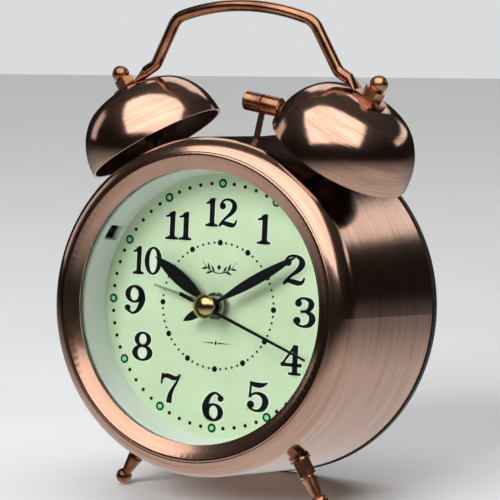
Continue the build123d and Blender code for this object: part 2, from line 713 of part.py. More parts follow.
def back_cover():
    edge = COVER_EDGE
    body = ring([(0, COVER_PLATE_Y[0]), (55.0, COVER_PLATE_Y[0]), (55.0, 40.5), (56.6, 40.5),
                 (56.9, COVER_Y[0]), (COVER_R, COVER_Y[0]), (COVER_R, COVER_Y[1] - edge),
                 (COVER_R - edge, COVER_Y[1]), (0, COVER_Y[1])])
    body -= plate(Pos(0, DOOR_Z) * Rectangle(DOOR_W, DOOR_H), 43, 47)
    for at in (ALARM_SET_AT, TIME_SET_AT):
        body -= disc(3.4, 43, 47, at)
    body -= disc(4.0, 43, 47, BUTTON_AT)
    body -= plate(Pos(*SWITCH_AT) * Rectangle(12, 3.6), 43, 47)
    for bearing in SCREW_BEARINGS:
        body -= disc(1.6, 43, 47, polar(SCREW_R, bearing))
        body -= disc(3.0, 44.9, 47, polar(SCREW_R, bearing))
    body += disc(6.8, 36.6, COVER_PLATE_Y[0], BUTTON_AT, bore=5.5)
    pocket = Rectangle(19, 10) - Rectangle(16.4, 7.4)
    return body + plate(Pos(*SWITCH_AT) * pocket, 36.0, COVER_PLATE_Y[0])


def battery_box():
    box = plate(Pos(0, DOOR_Z) * Rectangle(57.0, 34.5), 25.8, 43.9)
    return box - plate(Pos(0, DOOR_Z) * Rectangle(54.4, 31.9), 27.2, 45)


def battery(z):
    can = Rot(0, 90, 0) * (Cylinder(CELL_R, CELL_L - 1.2) + Pos(0, 0, CELL_L / 2) * Cylinder(2.6, 1.2))
    return Pos(0, CELL_Y, z) * can


def battery_contacts():
    plates = [Pos(side * 26.0, CELL_Y, DOOR_Z) * Box(0.5, 10, 26) for side in (-1, 1)]
    for z in CELL_Z:
        plates[0] += Pos(-25.2, CELL_Y, z) * Rot(0, 90, 0) * Cone(3.4, 2.2, 1.2)
    return plates


def battery_door():
    panel = plate(Pos(0, DOOR_Z) * Rectangle(DOOR_W - 0.6, DOOR_H - 0.6), 44.1, 46.0)
    for row in range(5):
        panel -= plate(Pos(0, DOOR_Z + 8.5 + 1.3 * row) * Rectangle(14, 0.5), 45.6, 46.5)
    return panel + plate(Pos(0, DOOR_Z + 12) * Rectangle(8, 2.2), 42.4, 44.1)


def light_button():
    cap = chamfer(disc(3.8, 43.8, 48.2, BUTTON_AT).edges().filter_by(GeomType.CIRCLE).sort_by(Axis.Y)[-1], 0.4)
    return cap + disc(5.2, 42.8, 43.8, BUTTON_AT)


def light_switch():
    return disc(5.45, 36.8, 39.0, BUTTON_AT) + disc(1.6, 39.0, 41.0, BUTTON_AT)


def alarm_switch():
    x, z = SWITCH_AT[0] - SWITCH_TRAVEL / 2, SWITCH_AT[1]
    lever = plate(Pos(x, z) * Rectangle(5.0, 3.2), 43.6, 47.6)
    lever += plate(Pos(x, z) * Rectangle(8.0, 5.6), 42.2, 43.6)
    for rib in (-1.2, 0, 1.2):
        lever -= plate(Pos(x + rib, z) * Rectangle(0.5, 4), 47.2, 48)
    return lever


def alarm_switch_body():
    return plate(Pos(*SWITCH_AT) * Rectangle(16.3, 7.3), 36.2, 42.0)


def case_lug(bearing):
    x, z = polar(SCREW_R, bearing)
    block = plate(Pos(x, z) * Circle(3.2), 37.5, 43.9)
    return block - disc(1.25, 36, 45, (x, z))


def cover_screw(bearing):
    x, z = polar(SCREW_R, bearing)
    head = disc(2.8, 44.9, 45.8, (x, z)) - plate(Pos(x, z) * Rectangle(3.6, 0.7), 45.4, 46)
    head -= plate(Pos(x, z) * Rectangle(0.7, 3.6), 45.4, 46)
    return head + disc(1.2, 38.5, 44.9, (x, z))


def wire(points, bend):
    path = FilletPolyline(*points, radius=bend)
    start = Plane(origin=path @ 0, z_dir=path % 0)
    return sweep(start * Circle(0.45), path=path)


def lead_wires():
    """Two leads from the lamp and two from the hammer motor to the battery box."""
    lamp_x, lamp_z = polar(52.7, LED_BEARING)
    leads = []
    for off in (-0.8, 0.8):
        leads.append(wire([(lamp_x, LED_Y + off * 0.75, lamp_z), (lamp_x - 0.4, 2.0, lamp_z - 1 + off),
                           (-43.0, 24.0, 14.0 + off), (-34.0, 33.0, -4.0 + off),
                           (-29.1, 34.5, -15.0 + off)], 6.0))
        motor_x, box_x = MOTOR_AT[0] + 3 * off, -9.0 + 2 * off
        leads.append(wire([(motor_x, 28.2, MOTOR_AT[1] - 1), (motor_x, 32.0, 28.0),
                           (box_x, 33.0, 8.0), (box_x, 33.0, -6.6)], 3.0))
    return leads


# ---- putting it together ---------------------------------------------------------------------------------


def both(make):
    return [make(-1), make(1)]


PARTS = {
    "drum_case": [drum_case()],
    "bezel_ring": [bezel_ring()],
    "lens": [lens()],
    "lens_gasket": [lens_gasket()],
    "reflector_ring": [reflector_ring()],
    "led_lamp": [led_lamp()],
    "led_holder": [led_holder()],
    "dial": [dial()],
    "mounting_nut": [mounting_nut()],
    "hour_hand": [hour_hand()],
    "minute_hand": [minute_hand()],
    "second_hand": [second_hand()],
    "second_cap": [second_cap()],
    "alarm_hand": [alarm_hand()],
    "movement_plate": [movement_plate()],
    "movement_housing": [movement_housing()],
    "alarm_wheel": [alarm_wheel()],
    "alarm_knob": [alarm_knob()],
    "hour_wheel": [hour_wheel()],
    "motion_wheel": [motion_wheel()],
    "cannon_pinion": [cannon_pinion()],
    "minute_wheel": [minute_wheel()],
    "third_wheel": [third_wheel()],
    "seconds_wheel": [seconds_wheel()],
    "intermediate_wheel": [intermediate_wheel()],
    "rotor": [rotor()],
    "stator": [stator()],
    "coil": [coil()],
    "circuit_board": [circuit_board()],
    "quartz_crystal": [quartz_crystal()],
    "time_knob": [time_knob()],
    "hammer_bracket": [hammer_bracket()],
    "hammer_motor": [hammer_motor()],
    "motor_pinion": [motor_pinion()],
    "striker_gear": [striker_gear()],
    "hammer_pin": [hammer_pin()],
    "hammer_lever": [hammer_lever()],
    "hammer_stem": [hammer_stem()],
    "hammer_head": [hammer_head()],
    "bell_left": [bell(-1)],
    "bell_right": [bell(1)],
    "bell_posts": both(bell_post),
    "inner_nuts": inner_nuts(),
    "acorn_nuts": both(acorn_nut),
    "handle": [handle()],
    "foot_left": [foot(-1)],
    "foot_right": [foot(1)],
    "foot_washers": both(foot_washer),
    "back_cover": [back_cover()],
    "battery_box": [battery_box()],
    "batteries": [battery(z) for z in CELL_Z],
    "battery_contacts": battery_contacts(),
    "battery_door": [battery_door()],
    "light_button": [light_button()],
    "light_switch": [light_switch()],
    "alarm_switch": [alarm_switch()],
    "alarm_switch_body": [alarm_switch_body()],
    "case_lugs": [case_lug(b) for b in SCREW_BEARINGS],
    "cover_screws": [cover_screw(b) for b in SCREW_BEARINGS],
    "lead_wires": lead_wires(),
}


def stand():
    """Location that takes the drum's frame to the clock as it stands on the table."""
    leaned = Rot(-LEAN_BACK, 0, 0)
    boxes = [(leaned * solid).bounding_box() for solids in PARTS.values() for solid in solids]
    low_x, high_x = min(b.min.X for b in boxes), max(b.max.X for b in boxes)
    low_y, high_y = min(b.min.Y for b in boxes), max(b.max.Y for b in boxes)
    low_z = min(b.min.Z for b in boxes)
    return Pos(-(low_x + high_x) / 2, -(low_y + high_y) / 2, -low_z) * leaned


STAND = stand()

if __name__ == "__main__":
    os.makedirs("parts", exist_ok=True)
    for name, solids in PARTS.items():
        placed = [STAND * solid for solid in solids]
        shape = placed[0] if len(placed) == 1 else Compound(children=placed)
        export_step(shape, f"parts/{name}.step")
    print("drum axis at", (STAND * Pos(0, 0, 0)).position)
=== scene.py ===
import bmesh
import bpy
import json
import math
from mathutils import Matrix, Vector

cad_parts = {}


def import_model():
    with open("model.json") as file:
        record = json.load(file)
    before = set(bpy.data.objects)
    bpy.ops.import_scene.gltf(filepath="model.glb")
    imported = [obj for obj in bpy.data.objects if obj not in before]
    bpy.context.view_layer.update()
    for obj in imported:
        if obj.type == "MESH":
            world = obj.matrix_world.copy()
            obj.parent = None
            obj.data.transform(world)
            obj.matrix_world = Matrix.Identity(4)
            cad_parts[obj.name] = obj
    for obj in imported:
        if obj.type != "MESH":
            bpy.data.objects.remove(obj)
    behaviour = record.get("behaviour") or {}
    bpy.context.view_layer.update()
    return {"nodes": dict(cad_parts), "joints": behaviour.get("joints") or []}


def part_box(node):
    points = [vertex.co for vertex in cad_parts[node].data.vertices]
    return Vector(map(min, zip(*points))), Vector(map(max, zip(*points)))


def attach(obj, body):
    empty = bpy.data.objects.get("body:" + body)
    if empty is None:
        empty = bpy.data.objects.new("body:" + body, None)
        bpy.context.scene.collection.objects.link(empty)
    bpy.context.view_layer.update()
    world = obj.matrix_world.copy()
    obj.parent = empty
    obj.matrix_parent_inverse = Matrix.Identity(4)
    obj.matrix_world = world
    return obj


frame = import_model()

# Twin-bell alarm clock. Metres, +Z up, dial facing -Y and leaning back.
# The drum's own frame is X to the right of the viewer, Y from dial to back, Z up the dial.

MM = 0.001
LEAN = math.radians(7.2)
JOINTS = {joint["name"]: joint for joint in frame["joints"]}
AXIS = Vector(JOINTS["minute_turn"]["axis"])            # drum axis, front to back
DIAL_LOW, DIAL_HIGH = (Vector(corner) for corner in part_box("dial"))
DIAL_MIDDLE = (DIAL_LOW + DIAL_HIGH) / 2
DIAL_T = 0.5 * MM
FACE = DIAL_MIDDLE - AXIS * (DIAL_T / 2)                # middle of the dial's front face
DRUM = Matrix.Translation(FACE) @ Matrix.Rotation(-LEAN, 4, "X")

# ---- materials ----------------------------------------------------------------------------------


class Shader:
    """A node tree with a Principled shader and short ways to add nodes to it."""

    def __init__(self, name):
        self.material = bpy.data.materials.new(name)
        self.material.use_nodes = True
        self.tree = self.material.node_tree
        self.main = self.tree.nodes["Principled BSDF"]

    def node(self, kind, **settings):
        node = self.tree.nodes.new(kind)
        for key, value in settings.items():
            setattr(node, key, value)
        return node

    def link(self, value, socket):
        if isinstance(value, bpy.types.NodeSocket):
            self.tree.links.new(value, socket)
        else:
            socket.default_value = value

    def set(self, **values):
        """Sets the shader's own sockets, by name with _ for a space."""
        for key, value in values.items():
            self.link(value, self.main.inputs[key.replace("_", " ")])
        return self

    def coords(self):
        return self.node("ShaderNodeTexCoord").outputs["Object"]

    def math(self, operation, a, b=0.0, clamp=False):
        node = self.node("ShaderNodeMath", operation=operation, use_clamp=clamp)
        self.link(a, node.inputs[0])
        self.link(b, node.inputs[1])
        return node.outputs[0]

    def vector(self, operation, a, b=(0.0, 0.0, 0.0)):
        node = self.node("ShaderNodeVectorMath", operation=operation)
        self.link(a, node.inputs[0])
        self.link(b, node.inputs[1])
        return node.outputs["Value" if operation in ("DOT_PRODUCT", "LENGTH") else "Vector"]

    def scaled(self, vector, factor):
        node = self.node("ShaderNodeVectorMath", operation="SCALE")
        self.link(vector, node.inputs[0])
        self.link(factor, node.inputs["Scale"])
        return node.outputs["Vector"]

    def noise(self, vector, scale, detail=3.0, roughness=0.5):
        node = self.node("ShaderNodeTexNoise")
        self.link(vector, node.inputs["Vector"])
        self.link(scale, node.inputs["Scale"])
        self.link(detail, node.inputs["Detail"])
        self.link(roughness, node.inputs["Roughness"])
        return node.outputs["Fac"]

    def ramp(self, value, *stops):
        """stops are (position, colour or grey)."""
        node = self.node("ShaderNodeValToRGB")
        elements = node.color_ramp.elements
        while len(elements) < len(stops):
            elements.new(0.5)
        for element, (position, colour) in zip(elements, stops):
            element.position = position
            element.color = (colour,) * 3 + (1,) if isinstance(colour, (int, float)) else (*colour, 1)
        self.link(value, node.inputs["Fac"])
        return node.outputs["Color"]

    def mix(self, factor, a, b, blend="MIX"):
        node = self.node("ShaderNodeMix", data_type="RGBA", blend_type=blend)
        self.link(factor, node.inputs["Factor"])
        self.link(a if isinstance(a, bpy.types.NodeSocket) else (*a, 1), node.inputs["A"])
        self.link(b if isinstance(b, bpy.types.NodeSocket) else (*b, 1), node.inputs["B"])
        return node.outputs["Result"]

    def range(self, value, low, high):
        node = self.node("ShaderNodeMapRange")
        self.link(value, node.inputs["Value"])
        self.link(low, node.inputs["To Min"])
        self.link(high, node.inputs["To Max"])
        return node.outputs["Result"]

    def bump(self, height, distance, strength=1.0):
        node = self.node("ShaderNodeBump")
        self.link(strength, node.inputs["Strength"])
        self.link(distance, node.inputs["Distance"])
        self.link(height, node.inputs["Height"])
        self.link(node.outputs["Normal"], self.main.inputs["Normal"])
        return self


def around(shader, centre, axis):
    """Places on a turned surface: distance along the axis and from it, unit direction out, tangent."""
    offset = shader.vector("SUBTRACT", shader.coords(), tuple(centre))
    along = shader.vector("DOT_PRODUCT", offset, tuple(axis))
    out = shader.vector("SUBTRACT", offset, shader.scaled(tuple(axis), along))
    radius = shader.vector("LENGTH", out)
    direction = shader.vector("NORMALIZE", out)
    tangent = shader.vector("NORMALIZE", shader.vector("CROSS_PRODUCT", tuple(axis), out))
    return along, radius, direction, tangent


COPPER_DARK = (0.20, 0.085, 0.050)
COPPER_MID = (0.54, 0.34, 0.26)
COPPER_LIGHT = (0.82, 0.59, 0.49)
# painted shade: the dark colour given to the inside faces of the bells
BELL_INSIDE_PAINTED_SHADE = (0.085, 0.042, 0.030)


def brushed_copper(name, centre, axis, streak, roughness, anisotropic, calm, hollow=False):
    """Antique copper plate, brushed round an axis, under a thin clear lacquer.

    streak is the strength of the brushing, and calm how much of its colour is evened out. A hollow
    one has painted shade inside: a darker colour, and a rougher surface.
    """
    shader = Shader(name)
    along, radius, direction, tangent = around(shader, centre, axis)
    profile = shader.math("SUBTRACT", along, radius)
    fine = shader.vector("ADD", shader.scaled(direction, 0.22),
                         shader.scaled(tuple(axis), shader.math("MULTIPLY", profile, 560.0)))
    broad = shader.vector("ADD", shader.scaled(direction, 0.45),
                          shader.scaled(tuple(axis), shader.math("MULTIPLY", profile, 110.0)))
    hair = shader.noise(fine, 4.0, 4.0, 0.7)
    band = shader.noise(broad, 3.0, 3.0, 0.55)
    patch = shader.noise(shader.coords(), 28.0, 3.0, 0.6)
    base = shader.ramp(shader.math("ADD", shader.math("MULTIPLY", hair, 0.62 * streak),
                                   shader.math("MULTIPLY", band, 0.38 + 0.3 * (1 - streak))),
                       (0.28, COPPER_DARK), (0.47, COPPER_MID), (0.66, COPPER_LIGHT))
    base = shader.mix(shader.range(patch, calm, calm + 0.22), base, COPPER_MID)
    rough = shader.range(hair, *roughness)
    if hollow:
        normal = shader.node("ShaderNodeNewGeometry").outputs["Normal"]
        outwards = shader.vector("SUBTRACT", shader.coords(), tuple(centre))
        away = shader.vector("DOT_PRODUCT", normal, outwards)
        inside = shader.math("LESS_THAN", away, 0.0)
        # painted shade: the bell's inner face is coloured dark; it is also made rougher
        base = shader.mix(inside, base, BELL_INSIDE_PAINTED_SHADE)
        rough = shader.math("ADD", rough, shader.math("MULTIPLY", inside, 0.3))
    shader.set(Base_Color=base, Metallic=1.0, Roughness=rough, Anisotropic=anisotropic, Tangent=tangent,
               Coat_Weight=0.15, Coat_Roughness=0.06)
    shader.bump(shader.math("ADD", hair, shader.math("MULTIPLY", patch, 0.15)), 0.00003 * streak, 0.5)
    return shader.material


def glossy_copper(name, dark, light, roughness=(0.18, 0.36)):
    """Cast or bent copper-plated trim with darker antique patches."""
    shader = Shader(name)
    patch = shader.noise(shader.coords(), 90.0, 4.0, 0.6)
    speck = shader.noise(shader.coords(), 900.0, 3.0, 0.6)
    base = shader.mix(shader.ramp(patch, (0.35, 0.0), (0.65, 1.0)), dark, light)
    base = shader.mix(shader.ramp(speck, (0.60, 0.0), (0.72, 0.6)), base, dark)
    shader.set(Base_Color=base, Metallic=1.0, Roughness=shader.range(patch, *roughness), Coat_Weight=0.3,
               Coat_Roughness=0.08)
    shader.bump(shader.math("ADD", speck, patch), 0.00004, 0.4)
    return shader.material


def plain_metal(name, colour, roughness=(0.2, 0.4), grain=500.0):
    """Bare or plated metal, with faint tarnish in patches."""
    shader = Shader(name)
    patch = shader.noise(shader.coords(), 120.0, 4.0, 0.6)
    fine = shader.noise(shader.coords(), grain, 3.0, 0.6)
    darker = tuple(channel * 0.7 for channel in colour)
    shader.set(Base_Color=shader.mix(patch, darker, colour), Metallic=1.0,
               Roughness=shader.range(fine, *roughness))
    shader.bump(fine, 0.00002, 0.4)
    return shader.material


def plastic(name, colour, roughness=(0.35, 0.5), grain=1400.0, depth=0.00004, coat=0.0, specular=0.5):
    """Moulded plastic, lacquer or ink: grain is its fine texture, depth that texture's height in metres."""
    shader = Shader(name)
    patch = shader.noise(shader.coords(), 60.0, 3.0, 0.6)
    fine = shader.noise(shader.coords(), grain, 2.0, 0.5)
    lighter = tuple(min(1.0, channel * 1.25 + 0.004) for channel in colour)
    shader.set(Base_Color=shader.mix(patch, colour, lighter), Roughness=shader.range(patch, *roughness),
               Coat_Weight=coat, Coat_Roughness=0.1, Specular_IOR_Level=specular)
    shader.bump(fine, depth, 0.5)
    return shader.material


def clear(name, tint, ior=1.35, gloss_roughness=0.02):
    """Thin clear wall: light passes straight through it, and its gloss shows on top."""
    shader = Shader(name)
    smudge = shader.noise(shader.coords(), 40.0, 3.0, 0.6)
    passes = shader.node("ShaderNodeBsdfTransparent")
    shader.link(shader.mix(smudge, tint, (1.0, 1.0, 1.0)), passes.inputs["Color"])
    mirror = shader.node("ShaderNodeBsdfGlossy")
    shader.link(shader.range(smudge, gloss_roughness, gloss_roughness * 2), mirror.inputs["Roughness"])
    fresnel = shader.node("ShaderNodeFresnel")
    fresnel.inputs["IOR"].default_value = ior
    blend = shader.node("ShaderNodeMixShader")
    shader.link(fresnel.outputs[0], blend.inputs[0])
    shader.link(passes.outputs[0], blend.inputs[1])
    shader.link(mirror.outputs[0], blend.inputs[2])
    shader.link(blend.outputs[0], shader.tree.nodes["Material Output"].inputs["Surface"])
    shader.tree.nodes.remove(shader.main)
    return shader.material


def give(material, *nodes):
    for name in nodes:
        slots = frame["nodes"][name].material_slots
        for slot in slots:
            slot.material = material
        if not slots:
            frame["nodes"][name].data.materials.append(material)


def smooth(*nodes, angle=30):
    """Rounds the shading of turned and bent CAD parts, keeping edges sharper than the angle."""
    for name in nodes:
        mesh = frame["nodes"][name].data
        mesh.shade_smooth()
        mesh.set_sharp_from_angle(angle=math.radians(angle))


# ---- print on the dial ------------------------------------------------------------------------------

# Numerals are drawn in a box one unit high, from a stroke's (x, y, width) points, balls and ovals.

STEM = 0.18
HAIR = 0.055


def spline(points, steps=8):
    """Smooth line through points, each (x, y, width)."""
    ends = [points[0], *points, points[-1]]
    line = []
    for a, b, c, d in zip(ends, ends[1:], ends[2:], ends[3:]):
        for step in range(steps):
            t = step / steps
            line.append(tuple(0.5 * (2 * q + (r - p) * t + (2 * p - 5 * q + 4 * r - s) * t * t
                                     + (3 * q - p - 3 * r + s) * t * t * t)
                              for p, q, r, s in zip(a, b, c, d)))
    line.append(points[-1])
    return line


class Print:
    """Flat shapes a hair proud of a plane, the dial's face unless another is given, in millimetres."""

    def __init__(self, proud, plane=DRUM):
        self.proud = proud
        self.plane = plane
        self.verts = []
        self.faces = []

    def strip(self, left, right):
        """Quads between two equally long lines of (x, z) points, with walls down to the dial."""
        count = len(left)
        base = len(self.verts)
        for depth in (self.proud, 0.0):
            self.verts += [(x, -depth, z) for x, z in left]
            self.verts += [(x, -depth, z) for x, z in right]
        for i in range(count - 1):
            a, b, c, d = base + i, base + i + 1, base + count + i + 1, base + count + i
            self.faces.append((d, c, b, a))
            under = 2 * count
            self.faces.append((a, b, b + under, a + under))
            self.faces.append((c, d, d + under, c + under))
        for i, flip in ((0, False), (count - 1, True)):
            quad = (base + i, base + i + 2 * count, base + i + 3 * count, base + i + count)
            self.faces.append(quad[::-1] if flip else quad)

    def stroke(self, line, place, grow=0.0):
        """A line of (x, y, width) points drawn as a ribbon; place turns drawing units into millimetres."""
        left, right = [], []
        for i, (x, y, width) in enumerate(line):
            ax, ay, _ = line[max(i - 1, 0)]
            bx, by, _ = line[min(i + 1, len(line) - 1)]
            length = math.hypot(bx - ax, by - ay) or 1.0
            ux, uy = (bx - ax) / length, (by - ay) / length
            push = -grow if i == 0 else grow if i == len(line) - 1 else 0.0
            half = width / 2 + grow
            left.append(place(x + ux * push - uy * half, y + uy * push + ux * half))
            right.append(place(x + ux * push + uy * half, y + uy * push - ux * half))
        self.strip(left, right)

    def oval(self, x, y, a, b, place, inner=(0.0, 0.0), steps=36):
        """An ellipse with half axes a and b, open inside inner."""
        outer_line, inner_line = [], []
        for step in range(steps + 1):
            turn = 2 * math.pi * step / steps
            outer_line.append(place(x + a * math.cos(turn), y + b * math.sin(turn)))
            inner_line.append(place(x + inner[0] * math.cos(turn), y + inner[1] * math.sin(turn)))
        self.strip(inner_line, outer_line)

    def piece(self, name, material, slot):
        mesh = bpy.data.meshes.new(name)
        mesh.from_pydata([self.plane @ (Vector(v) * MM) for v in self.verts], [], self.faces)
        bm = bmesh.new()
        bm.from_mesh(mesh)
        bmesh.ops.remove_doubles(bm, verts=bm.verts, dist=1e-7)
        bmesh.ops.dissolve_degenerate(bm, dist=1e-7, edges=bm.edges)
        bm.to_mesh(mesh)
        bm.free()
        mesh.materials.append(material)
        obj = bpy.data.objects.new(name, mesh)
        bpy.context.collection.objects.link(obj)
        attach(obj, "case")
        return obj


def half_turn(shapes):
    """The same drawing upside down, as a 9 is a 6."""
    turned = []
    for kind, *rest in shapes:
        if kind == "stroke":
            turned.append((kind, [(GLYPH_W - x, 1 - y, w) for x, y, w in rest[0]]))
        elif kind == "line":
            turned.append((kind, [(GLYPH_W - x, 1 - y, w) for x, y, w in rest[0]]))
        else:
            x, y, a, b, *inner = rest
            turned.append((kind, GLYPH_W - x, 1 - y, a, b, *inner))
    return turned


GLYPH_W = 0.80
SIX = [("stroke", [(0.66, 0.86, 0.07), (0.46, 0.968, 0.06), (0.25, 0.82, 0.13), (0.12, 0.48, 0.20), (0.20, 0.16, 0.15),
                   (0.41, 0.035, 0.06)]),
       ("oval", 0.66, 0.79, 0.10, 0.095),
       ("oval", 0.42, 0.30, 0.34, 0.30, (0.165, 0.245))]
GLYPHS = {
    "1": (0.50, [("line", [(0.28, 0.0, STEM), (0.28, 0.95, STEM)]),
                 ("line", [(0.02, 0.03, 0.06), (0.50, 0.03, 0.06)]),
                 ("line", [(0.13, 0.07, 0.05), (0.40, 0.07, 0.05)]),
                 ("stroke", [(0.02, 0.815, 0.05), (0.12, 0.835, 0.06), (0.24, 0.90, 0.13), (0.35, 0.985, 0.05)])]),
    "2": (0.80, [("oval", 0.17, 0.73, 0.115, 0.105),
                 ("stroke", [(0.085, 0.78, 0.05), (0.20, 0.93, 0.06), (0.40, 0.968, 0.065), (0.60, 0.88, 0.13),
                             (0.66, 0.70, 0.19), (0.54, 0.50, 0.14), (0.32, 0.32, 0.08), (0.13, 0.14, 0.055),
                             (0.07, 0.02, 0.05)]),
                 ("stroke", [(0.05, 0.02, 0.03), (0.20, 0.125, 0.10), (0.38, 0.10, 0.15), (0.58, 0.065, 0.14),
                             (0.70, 0.11, 0.08), (0.76, 0.25, 0.035)])]),
    "3": (0.78, [("oval", 0.18, 0.79, 0.105, 0.10),
                 ("oval", 0.15, 0.22, 0.115, 0.11),
                 ("stroke", [(0.11, 0.85, 0.05), (0.24, 0.95, 0.055), (0.40, 0.968, 0.065), (0.58, 0.89, 0.14),
                             (0.62, 0.75, 0.18), (0.54, 0.60, 0.12), (0.40, 0.53, 0.055), (0.28, 0.525, 0.05)]),
                 ("stroke", [(0.30, 0.53, 0.05), (0.46, 0.52, 0.07), (0.63, 0.42, 0.16), (0.67, 0.26, 0.20),
                             (0.58, 0.10, 0.14), (0.38, 0.033, 0.065), (0.18, 0.08, 0.055), (0.07, 0.19, 0.04)])]),
    "4": (0.84, [("line", [(0.58, 0.0, STEM), (0.58, 0.98, STEM)]),
                 ("line", [(0.34, 0.03, 0.06), (0.82, 0.03, 0.06)]),
                 ("line", [(0.03, 0.325, 0.09), (0.84, 0.325, 0.09)]),
                 ("line", [(0.06, 0.31, HAIR), (0.55, 0.965, 0.07)])]),
    "5": (0.76, [("line", [(0.135, 0.99, 0.05), (0.105, 0.48, 0.05)]),
                 ("stroke", [(0.12, 0.985, 0.03), (0.22, 0.925, 0.13), (0.42, 0.90, 0.155), (0.58, 0.935, 0.10),
                             (0.70, 0.995, 0.02)]),
                 ("stroke", [(0.10, 0.49, 0.045), (0.24, 0.60, 0.06), (0.42, 0.62, 0.09), (0.60, 0.52, 0.16),
                             (0.66, 0.33, 0.20), (0.57, 0.12, 0.15), (0.37, 0.033, 0.065), (0.17, 0.08, 0.055),
                             (0.06, 0.19, 0.04)]),
                 ("oval", 0.145, 0.23, 0.115, 0.115)]),
    "6": (0.78, SIX),
    "7": (0.78, [("line", [(0.06, 1.0, 0.055), (0.03, 0.64, 0.055)]),
                 ("stroke", [(0.05, 0.80, 0.03), (0.16, 0.915, 0.12), (0.32, 0.91, 0.15), (0.50, 0.86, 0.14),
                             (0.66, 0.885, 0.08), (0.75, 0.99, 0.03)]),
                 ("stroke", [(0.745, 0.97, 0.04), (0.66, 0.76, 0.06), (0.50, 0.50, 0.10), (0.39, 0.25, 0.16),
                             (0.36, 0.0, 0.20)])]),
    "8": (0.78, [("oval", 0.39, 0.745, 0.30, 0.255, (0.15, 0.20)),
                 ("oval", 0.39, 0.275, 0.37, 0.275, (0.19, 0.22))]),
    "9": (0.78, half_turn(SIX)),
    "0": (0.78, [("oval", 0.39, 0.50, 0.38, 0.50, (0.19, 0.445))]),
}
NUMERAL_H = 9.2
DIGIT_GAP = 0.04
WEIGHT = 0.014            # extra on each side of every stroke
HALO = 0.055
NUMERAL_REACH = 31.7      # dial's centre to a numeral's middle at 3 and 9 o'clock
NUMERAL_DIP = 1.2         # how much nearer the numeral at 12 is, and how much further the one at 6
NUMERAL_SHIFT = {1: (0.5, -0.7), 2: (0.5, -2.2), 4: (-0.2, 0.8), 8: (0.2, 0.8),
                 10: (-0.5, -2.2), 11: (-0.7, -1.0)}
NUMERAL_WIDTH = {1: 1.05, 4: 0.98, 7: 1.03, 10: 0.92, 11: 1.04, 12: 0.97}
SINGLE_WIDTH = 1.13       # width of the other single digits
SINGLE_HEIGHT = 1.04


def numeral(hour, ink, halo):
    """One hour's numeral, upright, centred on its own spot near the outer track."""
    digits = str(hour)
    turn = math.radians(30 * hour)
    reach = NUMERAL_REACH - NUMERAL_DIP * math.cos(turn)
    shift_x, shift_y = NUMERAL_SHIFT.get(hour, (0.0, 0.0))
    middle = (reach * math.sin(turn) + shift_x, reach * math.cos(turn) + shift_y)
    wide = NUMERAL_H * NUMERAL_WIDTH.get(hour, SINGLE_WIDTH)
    tall = NUMERAL_H * (SINGLE_HEIGHT if hour < 10 else 1.0)
    width = sum(GLYPHS[digit][0] for digit in digits) + DIGIT_GAP * (len(digits) - 1)
    left = -width / 2
    for digit in digits:
        advance, shapes = GLYPHS[digit]

        def place(x, y, left=left):
            return middle[0] + (left + x) * wide, middle[1] + (y - 0.5) * tall

        for kind, *rest in shapes:
            if kind == "oval":
                x, y, a, b, *inner = rest
                holes = [tuple(half - WEIGHT for half in hole) for hole in inner]
                ink.oval(x, y, a + WEIGHT, b + WEIGHT, place, *holes)
                halo.oval(x, y, a + HALO, b + HALO, place)
                continue
            line = spline(rest[0]) if kind == "stroke" else rest[0]
            ink.stroke(line, place, WEIGHT)
            halo.stroke(line, place, HALO)
        left += advance + DIGIT_GAP


def same(x, y):
    return x, y


PRINT_PROUD = 0.05        # height of printed shapes above the dial
EDGE_PROUD = 0.03
LUME_PROUD = 0.12
MINUTE_TRACK_R = 40.0
INNER_TRACK_R = 20.66
MINUTE_DOT_R = 0.62
INNER_DOT_R = (0.95, 0.40)  # at the hours, between them
HOUR_RING_R = (1.5, 0.72)
LUME_R = 0.80


def dial_print():
    black = plastic("ink_black", (0.003, 0.004, 0.005), (0.5, 0.6), 1600.0, 0.00001, specular=0.12)
    pale = plastic("ink_pale", (0.60, 0.68, 0.55), (0.4, 0.5), 1600.0, 0.00001)
    deep = plastic("lume_edge_green", (0.002, 0.030, 0.012), (0.5, 0.6), 1600.0, 0.00001, specular=0.2)
    lume = plastic("lume_green", (0.16, 0.62, 0.30), (0.45, 0.6), 900.0, 0.00002)
    ink, halo = Print(PRINT_PROUD), Print(EDGE_PROUD)
    for hour in range(1, 13):
        numeral(hour, ink, halo)
    ink.piece("dial_numerals", black, "dial_green")
    halo.piece("dial_numeral_edges", pale, "dial_green")

    minutes, inner, outlines = Print(PRINT_PROUD), Print(PRINT_PROUD), Print(PRINT_PROUD)
    dots = Print(LUME_PROUD)
    for minute in range(60):
        turn = math.radians(6 * minute)
        spot = (math.sin(turn), math.cos(turn))
        at_hour = minute % 5 == 0
        x, z = (MINUTE_TRACK_R * part for part in spot)
        if at_hour:
            outer, hole = HOUR_RING_R
            outlines.oval(x, z, outer, outer, same, (hole, hole))
            dots.oval(x, z, LUME_R, LUME_R, same)
        else:
            minutes.oval(x, z, MINUTE_DOT_R, MINUTE_DOT_R, same, steps=16)
        x, z = (INNER_TRACK_R * part for part in spot)
        size = INNER_DOT_R[0] if at_hour else INNER_DOT_R[1]
        inner.oval(x, z, size, size, same, steps=20 if at_hour else 12)
    minutes.piece("dial_minute_dots", black, "dial_green")
    inner.piece("dial_inner_dots", black, "dial_green")
    outlines.piece("dial_hour_rings", deep, "dial_green")
    dots.piece("dial_hour_lume", lume, "dial_green")
    motif(black)


SPRAY_Z = 12.6
FLOURISH_Z = -12.2


